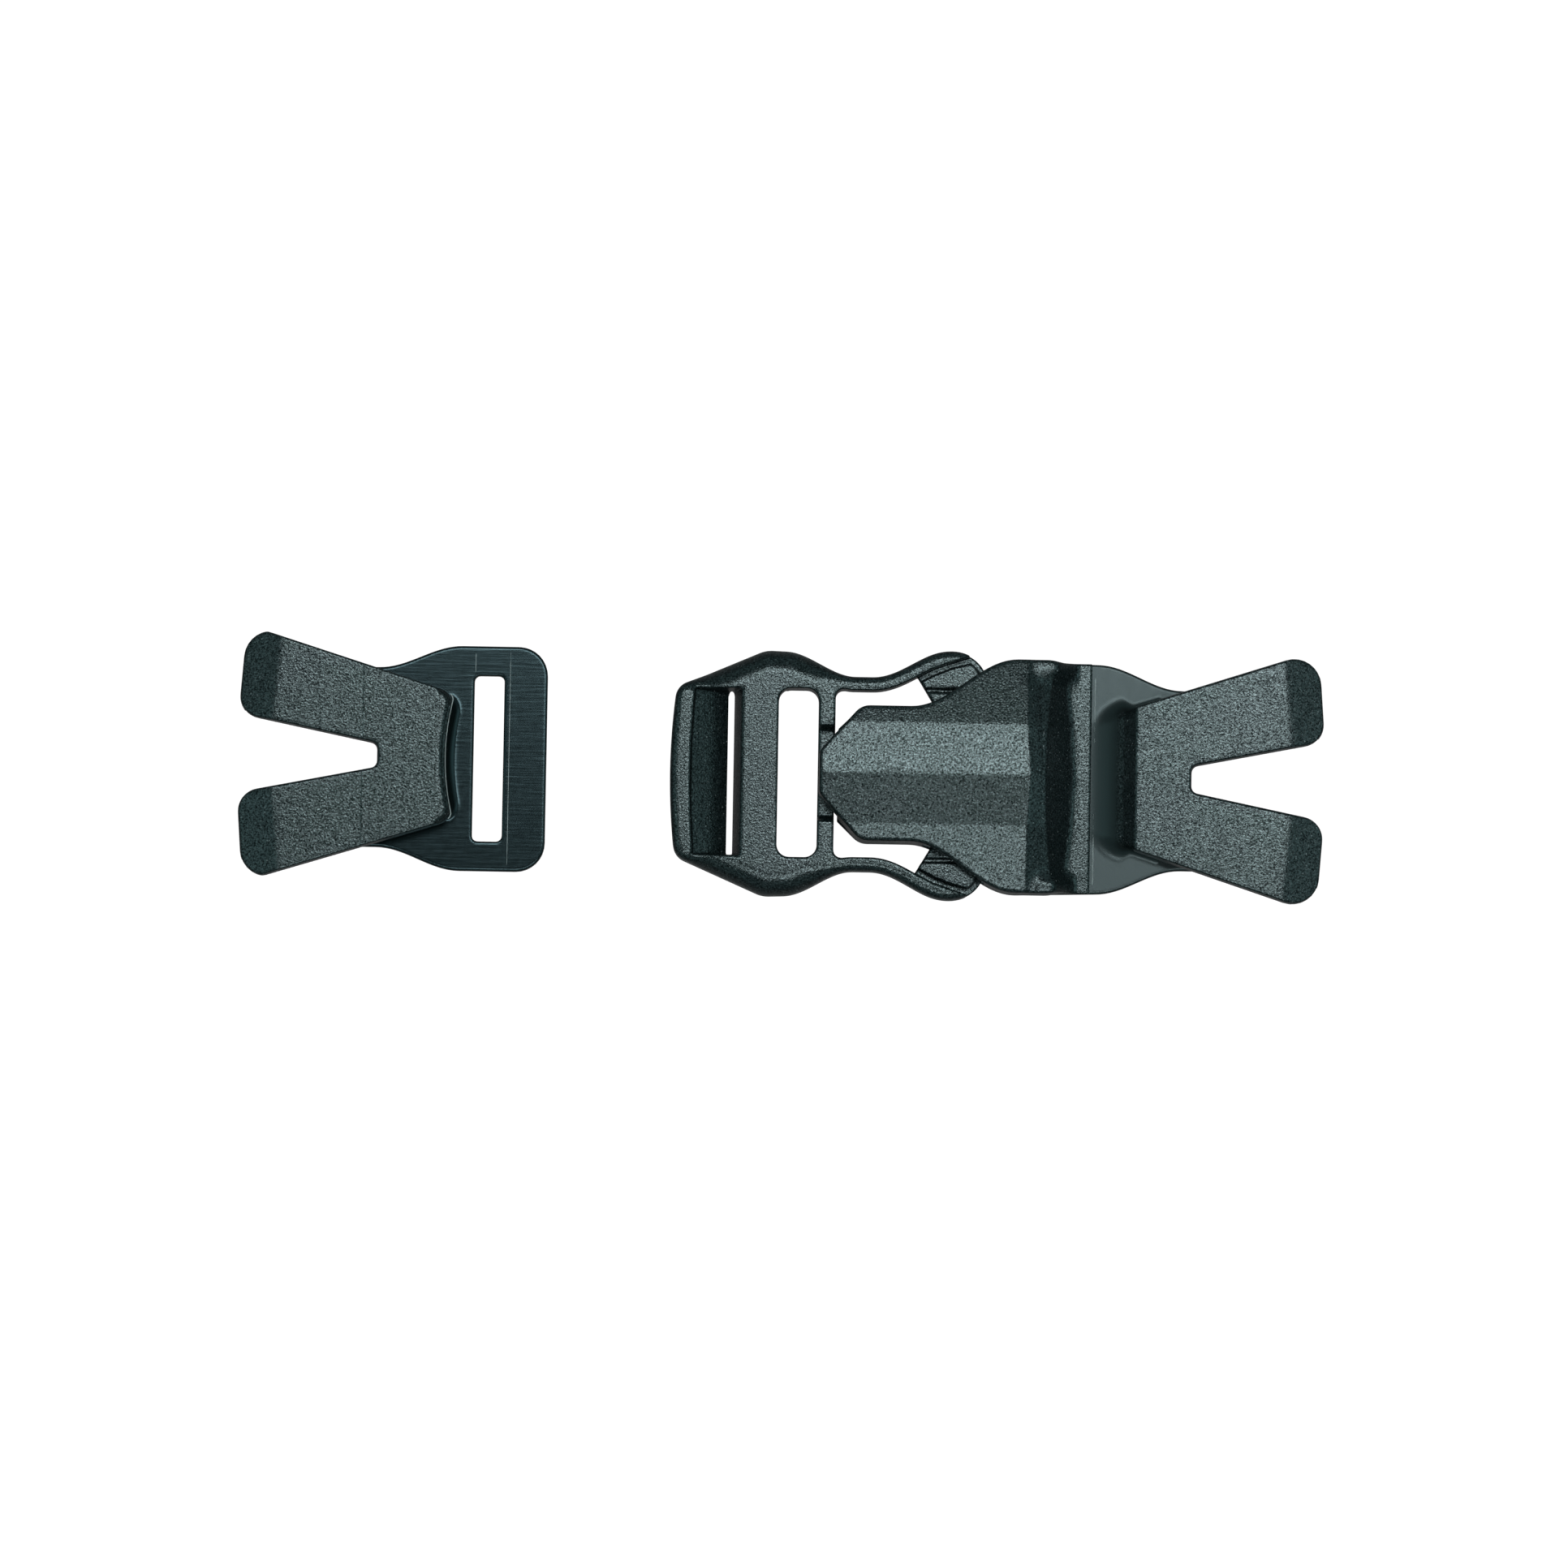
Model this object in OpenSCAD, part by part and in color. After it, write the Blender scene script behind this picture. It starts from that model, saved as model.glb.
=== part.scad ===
// Chest-strap hardware set: a strap loop clip and a side-release buckle,
// each ending in a fork that clips over a second webbing.
// Millimetres. X runs along the strap, Z is up from the surface it lies on.

/* [Webbing] */
// Width of the webbing the set is made for
webbing_width = 25; // [20:0.5:30]
// Clear height between a base plate and its fork
webbing_gap = 2.2; // [1.6:0.1:3]

/* [Layout] */
// Half of the length over both halves as laid out
half_span = 84.35; // [80:0.05:90]
// Sideways offset between the two halves' centre lines
stagger = 1.6; // [0:0.1:3]

/* [Plates and forks] */
// Thickness of the base plates
plate_thick = 2.0; // [1.6:0.1:2.6]
// Thickness of a fork
fork_thick = 2.2; // [1.8:0.1:2.8]
// Half width of a fork where it leaves its root
fork_root_half = 11.1; // [10:0.1:12]
// Angle of a tine's outer edge to the centre line
fork_flare = 17.3; // [14:0.1:19]
// Angle of the notch's edges to the centre line
notch_flare = 11.2; // [8:0.1:13]
// Half width of the notch at its closed end
notch_half = 2.1; // [1.6:0.1:2.6]
// Length of the ramp at a tine's tip
tip_ramp = 5.2; // [4:0.1:7]
// Half width of a neck under a fork
neck_half = 14.0; // [13:0.1:14.6]

/* [Plug] */
// Height of the ladder-lock frame
frame_high = 6.2; // [5.4:0.1:7]
// Widest half width of the ladder-lock frame
frame_half = 18.8; // [17.5:0.1:19.5]
// Widest half width over the latch arms
arm_half = 19.3; // [18.8:0.1:19.8]
// Half width at the waist between frame and arms
waist_half = 14.9; // [14:0.1:15.5]
// Width of a latch arm's band
band_wide = 1.95; // [1.6:0.05:2.4]

/* [Receiver] */
// Height of the cover at its ridge
cover_high = 9.4; // [8.8:0.1:10]
// Widest half width of the receiver
cover_half = 18.2; // [17.8:0.1:18.6]
// Half width of the nose
nose_half = 10.6; // [10:0.1:11.2]
// Wall thickness of the cover
wall = 1.5; // [1.2:0.1:1.8]

/* [Hidden] */

$fn = 48;
eps = 0.01;
// Running clearance of a living hinge's round face
hinge_gap = 0.07;
// Clearance between pieces that slide past each other
slide_gap = 0.3;

// Forks, measured from the tip end at x = 0, with the root towards -X
fork_under = plate_thick + webbing_gap;
fork_top = fork_under + fork_thick;
root_end = 29.4;
notch_end = 20.9;
tine_hinge = 18.9;
tip_lean = 5.5;
lip_deep = 0.8;
leg_end = 14.5;
channel_end = root_end - 3.3;
outer_r = 4.0;
inner_r = 3.3;
function outer_y(x) = fork_root_half + (x + root_end) * tan(fork_flare);
function notch_y(x) = notch_half + (x + notch_end) * tan(notch_flare);

// Loop clip, in the same local frame, with a longer root that ends in a bow
loop_root = 33.4;
loop_bow = 32.25;
loop_notch = 21.9;
loop_slot_near = 36.5;
loop_slot_far = 41.15;
loop_end = 47.85;
slot_half = webbing_width / 2 + 0.4;
loop_half = slot_half + 4.6;
root_bow_r = 36;

// Plug, on the buckle's own centre line
rim_x = -16.9;
recess_x = -13.5;
frame_low = 0.2;
slit_x = -8.3;
slit_wide = 1.0;
midbar_x = -6.4;
slot_x = -0.5;
slot_wide = 6.2;
slot_long = webbing_width + 1.2;
crossbar_x = slot_x + slot_wide;
window_x = crossbar_x + 2.6;
crossbar_high = 4.6;
crest_x = 0.3;
waist_x = 12.5;
bulge_x = 26.5;
hinge_x = 10.0;
pad_low = plate_thick + slide_gap;
pad_high = crossbar_high;
band_low = 1.1;
mouth_x = 31.4;
catch_x = 34.4;
arm_end = 38.6;

// Receiver, on the same centre line
nose_x = 5.8;
flare_x = 36.5;
ridge_drop = 0.5;
facet_half = 7.8;
side_tilt = 12;
band_x = 38.2;
wall_x = 40.9;
wall_foot = 45.5;
part_x = 48.4;
root_x = half_span - root_end;
floor_x = window_x + 0.5;
rib_half = waist_half;
tooth_half = rib_half + 1.2;
toe_high = plate_thick + 0.4;

// Sideways placing that keeps the set's box centred on y = 0
fork_half = max([for (p = tine_points()) p.y]);
loop_y = (stagger + arm_half - fork_half) / 2;
buckle_y = loop_y - stagger;

// Smooth step from 0 to 1
function ease(t) = (1 - cos(180 * min(max(t, 0), 1))) / 2;
function mix(a, b, t) = a + (b - a) * t;
function flip(points) = [for (i = [len(points) - 1:-1:0]) [points[i].x, -points[i].y]];

// Points of the arc that rounds the corner at b between a and c
function corner(a, b, c, r, n = 8) =
  let (
    u = (a - b) / norm(a - b),
    v = (c - b) / norm(c - b),
    half = acos(u * v) / 2,
    centre = b + (u + v) / norm(u + v) * r / sin(half),
    p = b + u * r / tan(half) - centre,
    q = b + v * r / tan(half) - centre,
    sweep = atan2(p.x * q.y - p.y * q.x, p * q),
    begin = atan2(p.y, p.x)
  )
  [for (i = [0:n]) centre + r * [cos(begin + sweep * i / n), sin(begin + sweep * i / n)]];

// A closed outline from corner points, each with its own radius
function rounded(points, radii) =
  let (n = len(points))
  [for (i = [0:n - 1])
    each radii[i] > 0
      ? corner(points[(i + n - 1) % n], points[i], points[(i + 1) % n], radii[i])
      : [points[i]]];

// ---------- forks ----------

function tine_points() =
  rounded(
    [
      [-tine_hinge, notch_y(-tine_hinge)],
      [-0.05, notch_y(0)],
      [-(outer_y(0) - 9) * tan(tip_lean), outer_y(0)],
      [-tine_hinge, outer_y(-tine_hinge)]
    ],
    [0, inner_r, outer_r, 0]
  );

// The ramp that thins a tine's tip from above
module tip_cut() {
  translate([-tip_ramp, 9, fork_top])
    rotate([0, 0, tip_lean])
      rotate([0, 14, 0])
        translate([0, -20, 0])
          cube([20, 40, 10]);
}

// One tine, turning on its root's round hinge face
module tine() {
  difference() {
    union() {
      translate([0, 0, fork_under])
        linear_extrude(fork_thick)
          polygon(tine_points());
      intersection() {
        translate([-1.3, 0, fork_under - lip_deep])
          cube([3, 30, lip_deep + eps]);
        translate([0, 0, fork_under - lip_deep])
          linear_extrude(lip_deep + eps)
            polygon(tine_points());
      }
      hinge_pin(fork_thick / 2);
    }
    tip_cut();
  }
}

// Round hinge face across a tine's root
module hinge_pin(r) {
  translate([-tine_hinge, notch_y(-tine_hinge) + 0.1, fork_under + fork_thick / 2])
    rotate([-90, 0, 0])
      cylinder(r = r, h = outer_y(-tine_hinge) - notch_y(-tine_hinge) - 0.5);
}

// Plan of the fork's root plate, from x = back to the hinge line
module fork_root_plan(back, r, notch) {
  polygon(
    rounded(
      [
        [-tine_hinge, outer_y(-tine_hinge)],
        [back, outer_y(back)],
        [back, -outer_y(back)],
        [-tine_hinge, -outer_y(-tine_hinge)],
        [-tine_hinge, -notch_y(-tine_hinge)],
        [-notch, -notch_y(-notch)],
        [-notch, notch_y(-notch)],
        [-tine_hinge, notch_y(-tine_hinge)]
      ],
      [0, r, r, 0, 0, 1.3, 1.3, 0]
    )
  );
}

// Room for both tines' hinge faces
module hinge_sockets() {
  for (side = [0, 1])
    mirror([0, side, 0])
      translate([-tine_hinge, 0, fork_under + fork_thick / 2])
        rotate([-90, 0, 0])
          cylinder(r = fork_thick / 2 + hinge_gap, h = 40);
}

// Plan of a base plate's neck and its two legs under the fork
function neck_points(x_wide, half_wide, x_neck, notch) =
  concat(
    [for (i = [0:16])
      let (t = i / 16)
      [mix(x_wide, x_neck, t), mix(half_wide, neck_half, ease(t))]],
    rounded(
      [[-leg_end - 3, neck_half], [-leg_end, neck_half], [-leg_end, 4.2], [-notch, notch_y(-notch)]],
      [0, 3, 1.5, 0]
    )
  );

// ---------- loop clip ----------

module loop_plan() {
  half = concat(
    rounded(
      [[-loop_end, 0], [-loop_end, loop_half], [-loop_end + 12, loop_half]],
      [0, 4.5, 0]
    ),
    neck_points(-34.6, loop_half, -21.6, loop_notch)
  );
  difference() {
    polygon(concat(half, flip(half)));
    slot_mid = -(loop_slot_near + loop_slot_far) / 2;
    slot_wide_half = (loop_slot_far - loop_slot_near) / 2;
    polygon(
      rounded(
        [
          [slot_mid - slot_wide_half, -slot_half],
          [slot_mid + slot_wide_half, -slot_half],
          [slot_mid + slot_wide_half, slot_half],
          [slot_mid - slot_wide_half, slot_half]
        ],
        [0.9, 0.9, 0.9, 0.9]
      )
    );
  }
}

module loop_plate() {
  color([0.16, 0.2, 0.21])
    loop_place()
      linear_extrude(plate_thick)
        loop_plan();
}

// Bowed end of the loop clip's root: top bevel, steep wall and foot fillet
module loop_root_cut() {
  top = fork_top - plate_thick;
  foot_r = 2.0;
  profile = concat(
    [
      [0, top + 1],
      [root_bow_r + 0.85, top + 1],
      [root_bow_r + 0.85, top],
      [root_bow_r, top - 0.7]
    ],
    [for (a = [0:15:90])
      [root_bow_r - 0.9 - foot_r * (1 - cos(a)), foot_r * (1 - sin(a))]],
    [[0, 0]]
  );
  translate([-loop_bow - root_bow_r, 0, plate_thick])
    rotate([0, 0, -30])
      rotate_extrude(angle = 60, $fn = 240)
        polygon(profile);
}

module loop_fork() {
  color([0.27, 0.31, 0.32])
    loop_place()
      difference() {
        union() {
          translate([0, 0, fork_under])
            linear_extrude(fork_thick)
              fork_root_plan(-loop_root, 2, loop_notch);
          translate([0, 0, plate_thick])
            linear_extrude(webbing_gap)
              intersection() {
                fork_root_plan(-loop_root - 2.2, 1.5, loop_notch);
                translate([-loop_root - 3, -20])
                  square([loop_root - channel_end + 3, 40]);
              }
        }
        hinge_sockets();
        loop_root_cut();
      }
}

module loop_upper_tine() {
  color([0.3, 0.35, 0.36])
    loop_place()
      tine();
}

module loop_lower_tine() {
  color([0.3, 0.35, 0.36])
    loop_place()
      mirror([0, 1, 0])
        tine();
}

module loop_place() {
  translate([-half_span, loop_y, 0])
    mirror([1, 0, 0])
      children();
}

// ---------- plug ----------

// Half width of the plug's outer edge at x, from the frame's crest outward
function plug_half(x) =
  x < waist_x - 11 ? frame_half - 0.05
  : x < waist_x ? mix(frame_half, waist_half, ease((x - waist_x + 11.5) / 11.5))
  : x < bulge_x ? mix(waist_half, arm_half, ease((x - waist_x - 1.5) / (bulge_x - waist_x - 1.5)))
  : arm_half - 5.5 + sqrt(max(5.5 * 5.5 - (x - bulge_x) * (x - bulge_x), 0));

function frame_half_points() =
  concat(
    corner([-16.95, 0], [-16.05, 13.2], [-2.6, frame_half - 0.4], 3.2),
    corner([-16.05, 13.2], [-1.6, frame_half + 0.1], [4, frame_half - 0.9], 5),
    [for (i = [0:10]) let (x = mix(2.6, hinge_x, i / 10)) [x, plug_half(x)]]
  );

// Bar that rounds a straight edge at height z; dir is 1 for a top edge, -1 for a bottom edge.
// The edge passes through the point at the given angle, with the slab on its right-hand side.
module edge_bar(point, angle, z, r, dir) {
  translate([point.x, point.y, z])
    rotate([0, 0, angle])
      rotate([90, 0, 90])
        translate([0, 0, -40])
          linear_extrude(80)
            scale([1, dir])
              difference() {
                translate([-r, -r])
                  square([r + 6, r + 2]);
                translate([-r, -r])
                  circle(r);
              }
}

hinge_y = plug_half(hinge_x) - band_wide / 2;

module window_cut() {
  band_inner = [for (x = [hinge_x + 4:-1:hinge_x]) [x, plug_half(x) - band_wide]];
  half = concat(
    [[hinge_x + 4, 0]],
    band_inner,
    corner([hinge_x + 1, 13], [window_x, 13.1], [window_x, 8], 1.6),
    [[window_x, 0]]
  );
  polygon(concat(half, flip(half)));
}

module plug_frame() {
  half = frame_half_points();
  // straight runs of the outer edge: a point on each and its angle
  edges = [
    [[-16.5, 6.6], 86],
    [[-14.6, 14.1], 50],
    [[-8, 16.45], 19.5],
    [[crest_x, frame_half], 0],
    [[5.4, 17.5], -27]
  ];
  color([0.29, 0.34, 0.35])
    buckle_place()
      difference() {
        translate([0, 0, frame_low])
          linear_extrude(frame_high - frame_low)
            polygon(concat(half, flip(half)));
        for (side = [0, 1], e = edges)
          mirror([0, side, 0]) {
            edge_bar(e[0], e[1], frame_high, 2.4, 1);
            edge_bar(e[0], e[1], frame_low, 1.2, -1);
          }
        // webbing slots
        translate([0, 0, -1])
          linear_extrude(frame_high + 2) {
            polygon(
              rounded(
                [
                  [slot_x, -slot_long / 2],
                  [crossbar_x, -slot_long / 2],
                  [crossbar_x, slot_long / 2],
                  [slot_x, slot_long / 2]
                ],
                [1.9, 1.9, 1.9, 1.9]
              )
            );
            translate([slit_x, -slot_long / 2 + 0.2])
              square([slit_wide, slot_long - 0.4]);
            window_cut();
          }
        // sloping recess between the rim and the slit, and the mid bar's flank
        translate([0, slot_long / 2, 0])
          rotate([90, 0, 0])
            linear_extrude(slot_long)
              polygon([
                [recess_x, frame_high + 1],
                [recess_x, 4.9],
                [slit_x, 1.6],
                [slit_x + slit_wide, 1.6],
                [midbar_x, frame_high - 0.6],
                [midbar_x + 0.4, frame_high + 1]
              ]);
        // relief under the mid bar and the rim's inner edge
        translate([0, slot_long / 2, 0])
          rotate([90, 0, 0])
            linear_extrude(slot_long)
              polygon([[-11.5, -1], [-8.6, 1.1], [slot_x + 1, 1.8], [slot_x + 1, -1]]);
        // the crossbar and its sides sit below the receiver's nose
        translate([crossbar_x + 0.05, -nose_half - 1.2, crossbar_high])
          cube([20, 2 * nose_half + 2.4, 5]);
        for (side = [-1, 1])
          translate([hinge_x, side * hinge_y, -1])
            cylinder(r = band_wide / 2 + hinge_gap, h = frame_high + 2);
      }
}

module plug_tongue() {
  half = rounded([[window_x, 4.4], [34.5, 3.5], [36.2, 0]], [0, 2, 0]);
  color([0.2, 0.23, 0.24])
    buckle_place()
      translate([0, 0, pad_low + 0.1])
        linear_extrude(pad_high - pad_low - 0.1)
          difference() {
            polygon(concat([for (p = half) p], [for (p = flip(half)) p]));
            polygon(rounded([[14, -1.6], [30, -1.6], [30, 1.6], [14, 1.6]], [1.5, 1.5, 1.5, 1.5]));
          }
}

function arm_outer(x0, x1, n = 26) = [for (i = [0:n]) let (x = mix(x0, x1, i / n)) [x, plug_half(x)]];

// Whole arm in plan: band, finger pad, neck through the mouth and latch tooth
module arm_plan() {
  polygon(concat(
    arm_outer(hinge_x, mouth_x),
    [[mouth_x, rib_half - 0.4], [catch_x, rib_half - 0.4], [catch_x, tooth_half]],
    corner([catch_x, tooth_half + 0.1], [37.0, tooth_half - 0.5], [arm_end, 13.2], 1.2),
    corner([37, tooth_half - 0.5], [arm_end, 11.6], [33, 10.9], 1.4),
    [[33, 10.9]],
    corner([33, 10.9], [23.5, 11.0], [20.8, plug_half(20.8) - band_wide], 0.8),
    [for (x = [20.8:-1.2:hinge_x]) [x, plug_half(x) - band_wide]],
    [[hinge_x, plug_half(hinge_x) - band_wide]]
  ));
}

// The raised outer band of the arm in plan
module band_plan() {
  last = 29.2;
  polygon(concat(
    arm_outer(hinge_x, last),
    [for (i = [0:20])
      let (x = mix(last - 0.6, hinge_x, i / 20), taper = ease((last - x) / 4))
      [x - 0.25 * taper, plug_half(x) - band_wide * (0.25 + 0.75 * taper)]]
  ));
}

module arm() {
  union() {
    translate([0, 0, pad_low])
      linear_extrude(pad_high - pad_low)
        arm_plan();
    translate([0, 0, band_low])
      linear_extrude(frame_high - 0.3 - band_low)
        band_plan();
    translate([hinge_x, hinge_y, band_low])
      cylinder(r = band_wide / 2, h = frame_high - 0.3 - band_low);
  }
}

module plug_upper_arm() {
  color([0.25, 0.3, 0.31])
    buckle_place()
      arm();
}

module plug_lower_arm() {
  color([0.25, 0.3, 0.31])
    buckle_place()
      mirror([0, 1, 0])
        arm();
}

module buckle_place() {
  translate([0, buckle_y, 0])
    children();
}

// ---------- receiver ----------

// Half outline of the housing from the nose to x = back, drawn in by d
function housing_half(back, d = 0) =
  concat(
    [[nose_x + d, 0]],
    corner([nose_x + d, 0], [nose_x + d, 3.4], [11.6, nose_half - d], 1.5),
    corner([nose_x + d, 3.4], [12.3, nose_half - d], [18, nose_half - d], 2.5),
    [for (i = [0:18])
      let (t = i / 18)
      [mix(20, flare_x, t), mix(nose_half, cover_half, ease(t)) - d]],
    [[back, cover_half - d]]
  );

module housing_plan(back, d = 0) {
  half = housing_half(back, d);
  polygon(concat(half, flip(half)));
}

// Faceted roof section across the strap, lowered by d
function roof(d) =
  let (edge = cover_high - ridge_drop - 12 * tan(side_tilt) - d)
  [
    [-facet_half - 12, -60], [-facet_half - 12, edge],
    [-facet_half, cover_high - ridge_drop - d], [0, cover_high - d],
    [facet_half, cover_high - ridge_drop - d], [facet_half + 12, edge],
    [facet_half + 12, -60]
  ];

module roof_prism(d, length) {
  rotate([90, 0, 90])
    linear_extrude(length)
      polygon(roof(d));
}

module receiver_cover() {
  color([0.31, 0.36, 0.37])
    buckle_place()
      difference() {
        intersection() {
          translate([0, 0, plate_thick])
            linear_extrude(cover_high)
              housing_plan(part_x - 3);
          roof_prism(0, 60);
          // chamfer band that falls away from the roof's end
          translate([band_x, 0, cover_high])
            rotate([0, 27, 0])
              translate([-40, 0, -cover_high])
                roof_prism(0, 60);
          // concave end wall down to the toe
          rotate([90, 0, 0])
            translate([0, 0, -30])
              linear_extrude(60)
                polygon(concat(
                  [[0, 0], [0, 20], [wall_x, 20], [wall_x, cover_high - 1.0]],
                  [for (a = [0:10:80])
                    [wall_foot - (wall_foot - wall_x) * (1 - sin(a)) * 0.98,
                     toe_high + (cover_high - 1.4 - toe_high) * (1 - sin(a)) * (1 - sin(a))
                       + (cover_high - 1.4 - toe_high) * 0.35 * cos(a) * (1 - sin(a))]],
                  [[wall_foot, 0]]
                ));
        }
        // cavity
        intersection() {
          translate([0, 0, -1])
            linear_extrude(20)
              housing_plan(40.2, wall);
          roof_prism(wall, wall_x - 1);
        }
        // the nose's front stays above the plug's crossbar
        translate([0, -15, -1])
          cube([floor_x, 30, crossbar_high + slide_gap + 1]);
        // mouths for the latch arms
        for (side = [-1, 1])
          translate([22.3, side > 0 ? rib_half - 4.6 : -rib_half - 9.4, -1])
            cube([mouth_x + slide_gap - 22.3, 14, crossbar_high + slide_gap + 1.2]);
      }
}

// Inward rib behind each mouth, which the latch tooth bears on
module rib() {
  intersection() {
    linear_extrude(4.9 - plate_thick)
      housing_plan(part_x, wall);
    translate([mouth_x + slide_gap, rib_half, 0])
      cube([catch_x - slide_gap / 2 - mouth_x - slide_gap, 6, 5]);
  }
}

module receiver_plate() {
  fixed = concat(
    [for (p = housing_half(flare_x)) if (p.x > 10) p],
    [[part_x, cover_half - 0.05]],
    [for (p = neck_points(part_x + 0.6 - half_span, cover_half - 0.1, 62.2 - half_span, notch_end))
      [p.x + half_span, p.y]]
  );
  half = concat([[floor_x, 7.2]], fixed);
  color([0.28, 0.33, 0.34])
    buckle_place()
      union() {
        linear_extrude(plate_thick)
          polygon(concat(half, flip(half)));
        // toe flange below the end wall
        translate([wall_foot, -cover_half + 0.1, plate_thick - eps])
          cube([part_x - wall_foot, 2 * cover_half - 0.2, toe_high - plate_thick]);
        // guide rails beside the tongue
        for (side = [-1, 1])
          translate([12, side * 5.3 - 0.4, plate_thick - eps])
            cube([24, 0.8, 2.4]);
        for (side = [0, 1])
          mirror([0, side, 0])
            translate([0, 0, plate_thick - eps])
              rib();
      }
}

module receiver_fork() {
  shift = half_span;
  color([0.27, 0.31, 0.32])
    buckle_place()
      difference() {
        union() {
          translate([shift, 0, fork_under])
            linear_extrude(fork_thick)
              fork_root_plan(-root_end, 0.6, notch_end);
          // root block with its sloping end wall and foot fillet
          intersection() {
            translate([0, 30, 0])
              rotate([90, 0, 0])
                linear_extrude(60)
                  polygon(concat(
                    [for (a = [0:10:50])
                      [49.2 + 3.4 * sin(a) / sin(50),
                       plate_thick + 3.4 * (1 - cos(a)) / sin(50)]],
                    [
                      [root_x, fork_top],
                      [shift - channel_end, fork_top],
                      [shift - channel_end, plate_thick]
                    ]
                  ));
            translate([shift, 0, plate_thick])
              linear_extrude(fork_top)
                fork_root_plan(-root_end - 6, 0, notch_end);
          }
        }
        translate([shift, 0, 0])
          hinge_sockets();
      }
}

module receiver_upper_tine() {
  color([0.3, 0.35, 0.36])
    buckle_place()
      translate([half_span, 0, 0])
        tine();
}

module receiver_lower_tine() {
  color([0.3, 0.35, 0.36])
    buckle_place()
      translate([half_span, 0, 0])
        mirror([0, 1, 0])
          tine();
}

loop_plate();
loop_fork();
loop_upper_tine();
loop_lower_tine();
plug_frame();
plug_tongue();
plug_upper_arm();
plug_lower_arm();
receiver_cover();
receiver_plate();
receiver_fork();
receiver_upper_tine();
receiver_lower_tine();
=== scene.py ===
"""Looks of the strap loop clip and side-release buckle set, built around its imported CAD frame.

Each moulding is a distance field in millimetres, negative inside. The fields are meshed on one
shared lattice and cut into pieces where the CAD has its joints.
"""

import math

import bpy
import numpy as np
from mathutils import Matrix, Vector


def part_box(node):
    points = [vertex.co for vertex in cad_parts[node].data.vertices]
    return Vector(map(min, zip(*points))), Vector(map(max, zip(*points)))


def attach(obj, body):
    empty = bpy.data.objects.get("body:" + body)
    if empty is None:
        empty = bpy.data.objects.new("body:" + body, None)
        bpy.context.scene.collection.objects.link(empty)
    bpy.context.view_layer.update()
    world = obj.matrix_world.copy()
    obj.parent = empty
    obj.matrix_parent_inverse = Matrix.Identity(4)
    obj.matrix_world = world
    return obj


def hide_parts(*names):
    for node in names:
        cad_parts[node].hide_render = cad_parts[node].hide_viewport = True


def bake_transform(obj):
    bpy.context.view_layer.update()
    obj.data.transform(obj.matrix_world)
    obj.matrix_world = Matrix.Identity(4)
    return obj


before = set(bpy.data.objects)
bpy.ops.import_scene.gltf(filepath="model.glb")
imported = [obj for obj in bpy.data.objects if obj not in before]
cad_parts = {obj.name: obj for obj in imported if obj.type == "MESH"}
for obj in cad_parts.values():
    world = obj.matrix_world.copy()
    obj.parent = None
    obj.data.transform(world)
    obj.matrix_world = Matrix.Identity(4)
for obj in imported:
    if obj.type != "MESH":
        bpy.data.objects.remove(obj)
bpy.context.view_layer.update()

# ---------------------------------------------------------------- sizes, in mm


def node_box(node):
    """Lowest and highest corner of a CAD node, in millimetres."""
    low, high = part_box(node)
    return np.array(low) * 1000, np.array(high) * 1000


def slope(degrees):
    """Rise per millimetre of a face at this angle."""
    return math.tan(math.radians(degrees))


loop_low, loop_high = node_box("loop_plate")
plug_low, plug_high = node_box("plug_frame")
tine_low, tine_high = node_box("receiver_upper_tine")
cover_high = node_box("receiver_cover")[1]

LOOP_Y = (loop_low[1] + loop_high[1]) / 2
LOOP_HALF = (loop_high[1] - loop_low[1]) / 2
BUCKLE_Y = (plug_low[1] + plug_high[1]) / 2
PLATE = loop_high[2]
FORK_TOP = tine_high[2]
FORK_UNDER = FORK_TOP - 2.2
LIP_LOW = tine_low[2]
FRAME_LOW, FRAME_TOP = plug_low[2], plug_high[2]
RIDGE = cover_high[2]

CELL = 0.22

# Forks. Their own x = 0 lies just beyond the tips, at SPAN in the frame, with the root towards -x
SPAN = tine_high[0] + 0.26
ROOT_END, ROOT_HALF, ROOT_SIDE = 29.4, 11.1, 17.3
NOTCH, NOTCH_HALF, LOOP_NOTCH = 20.9, 2.1, 21.9
FORK_SLOPE, NOTCH_SLOPE, FORK_DRAFT = slope(ROOT_SIDE), slope(11.2), 0.11
TIP_RAMP, TIP_ANGLE, TIP_SHORT = 5.75, math.radians(14), 0.28
TIP_MIDDLE, TIP_LEAN, LIP_LONG = 9, slope(5.5), 1.3
NECK = 14.0
# The root block's front, beyond which the tines run free
BLOCK_FRONT = ROOT_END - 3.3

# Loop clip, in its fork's x
LOOP_END, LOOP_WIDE_X, LOOP_NECK_X, LOOP_FORK_BACK = -47.85, -34.6, -21.6, -34.6
BOW_X, BOW_RADIUS, LOOP_ROOT_DRAFT = 32.25, 36.0, 0.12
# Webbing slot: from x, to x, half length, corner radius
LOOP_SLOT = (-41.15, -36.5, 12.9, 0.9)

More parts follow.
